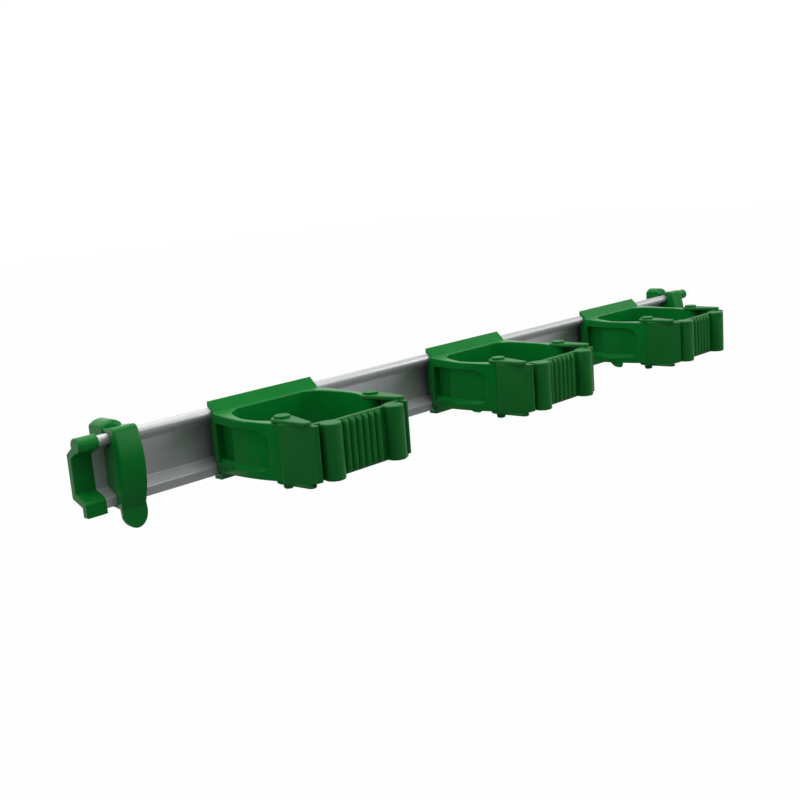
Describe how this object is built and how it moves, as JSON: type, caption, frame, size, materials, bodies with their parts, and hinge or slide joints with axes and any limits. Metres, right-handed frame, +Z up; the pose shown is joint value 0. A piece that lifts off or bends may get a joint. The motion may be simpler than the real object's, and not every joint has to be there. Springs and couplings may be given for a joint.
{
  "type": "tool holder rail",
  "caption": "Wall rail of bright aluminium channel with green end caps and latched wall brackets, carrying sliding holders whose sprung jaws and ribbed band grip tool handles.",
  "frame": {"origin": "on the wall plane, midway between the two wall screws, at the rail's mid-height", "axes": "+X along the rail to the right as seen from the front, +Y into the wall, +Z up"},
  "size_m": [0.535, 0.0946, 0.0498],
  "materials": {
    "satin_aluminium": "satin extruded",
    "green_plastic": "moulded, slight sheen",
    "green_rubber": "matt moulded rubber"
  },
  "bodies": {
    "rail_frame": {"rail": "satin_aluminium", "left_end_cap": "green_plastic", "right_end_cap": "green_plastic", "left_wall_bracket": "green_plastic", "right_wall_bracket": "green_plastic"},
    "left_latch": {"left_latch_strap": "green_plastic"},
    "right_latch": {"right_latch_strap": "green_plastic"},
    "holder_1": {"holder_1_body": "green_plastic", "holder_1_left_pivot_pin": "green_plastic", "holder_1_right_pivot_pin": "green_plastic"},
    "holder_1_release": {"holder_1_release_tab": "green_plastic"},
    "holder_1_left_grip": {"holder_1_left_jaw": "green_rubber"},
    "holder_1_left_band": {"holder_1_left_web": "green_rubber"},
    "holder_1_right_grip": {"holder_1_right_jaw": "green_rubber"},
    "holder_1_right_band": {"holder_1_right_web": "green_rubber"},
    "holder_2": {"holder_2_body": "green_plastic", "holder_2_left_pivot_pin": "green_plastic", "holder_2_right_pivot_pin": "green_plastic"},
    "holder_2_release": {"holder_2_release_tab": "green_plastic"},
    "holder_2_left_grip": {"holder_2_left_jaw": "green_rubber"},
    "holder_2_left_band": {"holder_2_left_web": "green_rubber"},
    "holder_2_right_grip": {"holder_2_right_jaw": "green_rubber"},
    "holder_2_right_band": {"holder_2_right_web": "green_rubber"},
    "holder_3": {"holder_3_body": "green_plastic", "holder_3_left_pivot_pin": "green_plastic", "holder_3_right_pivot_pin": "green_plastic"},
    "holder_3_release": {"holder_3_release_tab": "green_plastic"},
    "holder_3_left_grip": {"holder_3_left_jaw": "green_rubber"},
    "holder_3_left_band": {"holder_3_left_web": "green_rubber"},
    "holder_3_right_grip": {"holder_3_right_jaw": "green_rubber"},
    "holder_3_right_band": {"holder_3_right_web": "green_rubber"}
  },
  "joints": [
    {"name": "left_latch_hinge", "type": "hinge", "parent": "rail_frame", "child": "left_latch", "pos_m": [-0.2451, -0.0124, 0.0179], "axis": [-1, 0, 0], "range_deg": [0, 90]},
    {"name": "right_latch_hinge", "type": "hinge", "parent": "rail_frame", "child": "right_latch", "pos_m": [0.2451, -0.0124, 0.0179], "axis": [-1, 0, 0], "range_deg": [0, 90]},
    {"name": "holder_1_slide", "type": "slide", "parent": "rail_frame", "child": "holder_1", "axis": [1, 0, 0], "range_m": [-0.038, 0.038]},
    {"name": "holder_1_release_flex", "type": "hinge", "parent": "holder_1", "child": "holder_1_release", "pos_m": [-0.16, -0.0213, -0.0066], "axis": [-1, 0, 0], "range_deg": [0, 12], "stiffness_Nm_per_rad": 0.06},
    {"name": "holder_1_left_jaw_swing", "type": "hinge", "parent": "holder_1", "child": "holder_1_left_grip", "pos_m": [-0.189, -0.066, 0], "axis": [0, 0, 1], "range_deg": [0, 25], "stiffness_Nm_per_rad": 0.05, "deforming": ["holder_1_left_web", "holder_1_right_web"]},
    {"name": "holder_1_left_band_fold", "type": "hinge", "parent": "holder_1_left_grip", "child": "holder_1_left_band", "pos_m": [-0.17415, -0.0871, 0], "axis": [0, 0, 1], "range_deg": [0, 39.75]},
    {"name": "holder_1_right_jaw_swing", "type": "hinge", "parent": "holder_1", "child": "holder_1_right_grip", "pos_m": [-0.131, -0.066, 0], "axis": [0, 0, -1], "range_deg": [0, 25], "stiffness_Nm_per_rad": 0.05},
    {"name": "holder_1_right_band_fold", "type": "hinge", "parent": "holder_1_right_grip", "child": "holder_1_right_band", "pos_m": [-0.14585, -0.0871, 0], "axis": [0, 0, -1], "range_deg": [0, 39.75]},
    {"name": "holder_2_slide", "type": "slide", "parent": "rail_frame", "child": "holder_2", "axis": [1, 0, 0], "range_m": [-0.038, 0.038]},
    {"name": "holder_2_release_flex", "type": "hinge", "parent": "holder_2", "child": "holder_2_release", "pos_m": [0, -0.0213, -0.0066], "axis": [-1, 0, 0], "range_deg": [0, 12], "stiffness_Nm_per_rad": 0.06},
    {"name": "holder_2_left_jaw_swing", "type": "hinge", "parent": "holder_2", "child": "holder_2_left_grip", "pos_m": [-0.029, -0.066, 0], "axis": [0, 0, 1], "range_deg": [0, 25], "stiffness_Nm_per_rad": 0.05, "deforming": ["holder_2_left_web", "holder_2_right_web"]},
    {"name": "holder_2_left_band_fold", "type": "hinge", "parent": "holder_2_left_grip", "child": "holder_2_left_band", "pos_m": [-0.01415, -0.0871, 0], "axis": [0, 0, 1], "range_deg": [0, 39.75]},
    {"name": "holder_2_right_jaw_swing", "type": "hinge", "parent": "holder_2", "child": "holder_2_right_grip", "pos_m": [0.029, -0.066, 0], "axis": [0, 0, -1], "range_deg": [0, 25], "stiffness_Nm_per_rad": 0.05},
    {"name": "holder_2_right_band_fold", "type": "hinge", "parent": "holder_2_right_grip", "child": "holder_2_right_band", "pos_m": [0.01415, -0.0871, 0], "axis": [0, 0, -1], "range_deg": [0, 39.75]},
    {"name": "holder_3_slide", "type": "slide", "parent": "rail_frame", "child": "holder_3", "axis": [1, 0, 0], "range_m": [-0.038, 0.038]},
    {"name": "holder_3_release_flex", "type": "hinge", "parent": "holder_3", "child": "holder_3_release", "pos_m": [0.16, -0.0213, -0.0066], "axis": [-1, 0, 0], "range_deg": [0, 12], "stiffness_Nm_per_rad": 0.06},
    {"name": "holder_3_left_jaw_swing", "type": "hinge", "parent": "holder_3", "child": "holder_3_left_grip", "pos_m": [0.131, -0.066, 0], "axis": [0, 0, 1], "range_deg": [0, 25], "stiffness_Nm_per_rad": 0.05, "deforming": ["holder_3_left_web", "holder_3_right_web"]},
    {"name": "holder_3_left_band_fold", "type": "hinge", "parent": "holder_3_left_grip", "child": "holder_3_left_band", "pos_m": [0.14585, -0.0871, 0], "axis": [0, 0, 1], "range_deg": [0, 39.75]},
    {"name": "holder_3_right_jaw_swing", "type": "hinge", "parent": "holder_3", "child": "holder_3_right_grip", "pos_m": [0.189, -0.066, 0], "axis": [0, 0, -1], "range_deg": [0, 25], "stiffness_Nm_per_rad": 0.05},
    {"name": "holder_3_right_band_fold", "type": "hinge", "parent": "holder_3_right_grip", "child": "holder_3_right_band", "pos_m": [0.17415, -0.0871, 0], "axis": [0, 0, -1], "range_deg": [0, 39.75]}
  ],
  "couplings": [
    {"joint": "holder_1_left_band_fold", "follows": "holder_1_left_jaw_swing", "ratio": 1.57},
    {"joint": "holder_1_right_jaw_swing", "follows": "holder_1_left_jaw_swing", "ratio": 1},
    {"joint": "holder_1_right_band_fold", "follows": "holder_1_left_jaw_swing", "ratio": 1.57},
    {"joint": "holder_2_left_band_fold", "follows": "holder_2_left_jaw_swing", "ratio": 1.57},
    {"joint": "holder_2_right_jaw_swing", "follows": "holder_2_left_jaw_swing", "ratio": 1},
    {"joint": "holder_2_right_band_fold", "follows": "holder_2_left_jaw_swing", "ratio": 1.57},
    {"joint": "holder_3_left_band_fold", "follows": "holder_3_left_jaw_swing", "ratio": 1.57},
    {"joint": "holder_3_right_jaw_swing", "follows": "holder_3_left_jaw_swing", "ratio": 1},
    {"joint": "holder_3_right_band_fold", "follows": "holder_3_left_jaw_swing", "ratio": 1.57}
  ]
}
